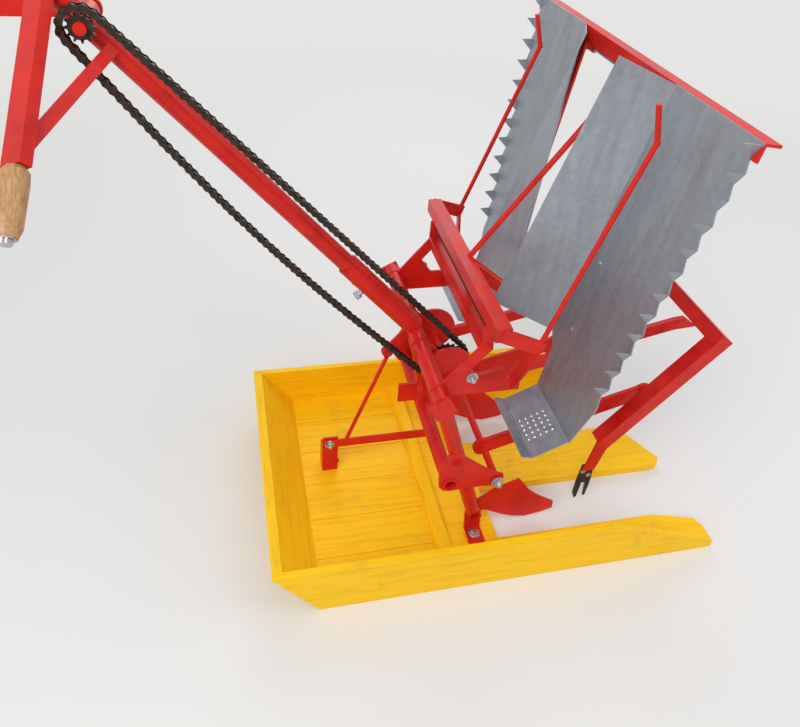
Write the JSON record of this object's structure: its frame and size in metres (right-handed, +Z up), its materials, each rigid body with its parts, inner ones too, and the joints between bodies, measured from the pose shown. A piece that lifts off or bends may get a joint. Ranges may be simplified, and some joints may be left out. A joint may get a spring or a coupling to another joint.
{
  "type": "walk behind rice transplanter",
  "caption": "Hand-cranked walk behind rice transplanter: forked wooden float, red tube frame, chain-driven planting linkage with claws, and leaning seedling trays with serrated edges",
  "frame": {"origin": "Centre of the float's flat sole, on the ground, midway between its side walls and midway from bow to prong tips", "axes": "+X runs backward along the float, away from the walking operator's handle and towards the prongs, +Y across it to the crank's side, +Z up"},
  "size_m": [1.2323, 0.7042, 1.0212],
  "materials": {
    "painted_board": "Chrome yellow oil paint brushed on sawn boards, with the grain and knots showing through",
    "red_paint": "Glossy red enamel sprayed on welded steel",
    "galvanised_sheet": "Hot-dip galvanised sheet, dull and lightly spangled",
    "zinc_plate": "Bright zinc plated steel",
    "chain_steel": "Oiled dark brown steel",
    "bare_wood": "Turned pale wood, lightly varnished",
    "black_steel": "Black hardened steel, satin"
  },
  "bodies": {
    "machine": {"float_deck": "painted_board", "float_bow": "painted_board", "float_side_near": "painted_board", "float_side_far": "painted_board", "float_batten": "painted_board", "foot_near": "red_paint", "foot_far": "red_paint", "leg_near": "red_paint", "leg_far": "red_paint", "top_tube": "red_paint", "side_frame_near": "red_paint", "side_frame_far": "red_paint", "rear_rail": "red_paint", "front_bar": "red_paint", "hold_rod_near": "red_paint", "hold_rod_far": "red_paint", "diagonal_rod": "red_paint", "centre_bracket": "red_paint", "tray_rail": "zinc_plate", "top_rail": "zinc_plate", "centre_strut": "red_paint", "lower_tube": "red_paint", "link_plate_near": "red_paint", "link_plate_far": "red_paint", "bearing_near": "red_paint", "bearing_far": "red_paint", "blade_near": "red_paint", "blade_far": "red_paint", "stay_angle": "red_paint", "front_stay": "red_paint", "stay_rod": "red_paint", "pole_sleeve": "red_paint", "clamp_bolt": "zinc_plate", "pole": "red_paint", "handle_bar": "red_paint", "handle_brace": "red_paint", "handle_grip": "bare_wood", "chain": "chain_steel"},
    "crank": {"crank_arm": "red_paint", "crank_grip": "bare_wood", "top_sprocket": "chain_steel"},
    "lower_shaft": {"crankshaft": "red_paint", "lower_sprocket": "chain_steel"},
    "swing_link": {"rocker": "red_paint"},
    "planter": {"arm_near": "red_paint", "arm_far": "red_paint", "cross_bar": "red_paint", "coupler_near": "red_paint", "coupler_far": "red_paint", "claw_near": "black_steel", "claw_far": "black_steel"},
    "trays": {"tray_near": "galvanised_sheet", "tray_far": "galvanised_sheet", "tray_frame": "red_paint"}
  },
  "joints": [
    {"name": "crank_turn", "type": "hinge", "parent": "machine", "child": "crank", "pos_m": [-0.62635, 0, 0.95113], "axis": [0, 1, 0], "continuous": true},
    {"name": "shaft_turn", "type": "hinge", "parent": "machine", "child": "lower_shaft", "pos_m": [-0.101, 0, 0.361], "axis": [0, 1, 0], "continuous": true},
    {"name": "link_swing", "type": "hinge", "parent": "machine", "child": "swing_link", "pos_m": [-0.022, 0, 0.191], "axis": [0, -1, 0], "range_deg": [-14, 14]},
    {"name": "arm_swing", "type": "hinge", "parent": "swing_link", "child": "planter", "pos_m": [0.29, 0, 0.293], "axis": [0, -1, 0], "range_deg": [-3, 3]},
    {"name": "tray_slide", "type": "slide", "parent": "machine", "child": "trays", "axis": [0, 1, 0], "range_m": [-0.03, 0.03]}
  ],
  "couplings": [
    {"joint": "shaft_turn", "follows": "crank_turn", "ratio": 0.54545},
    {"joint": "arm_swing", "follows": "link_swing", "ratio": -0.21}
  ]
}
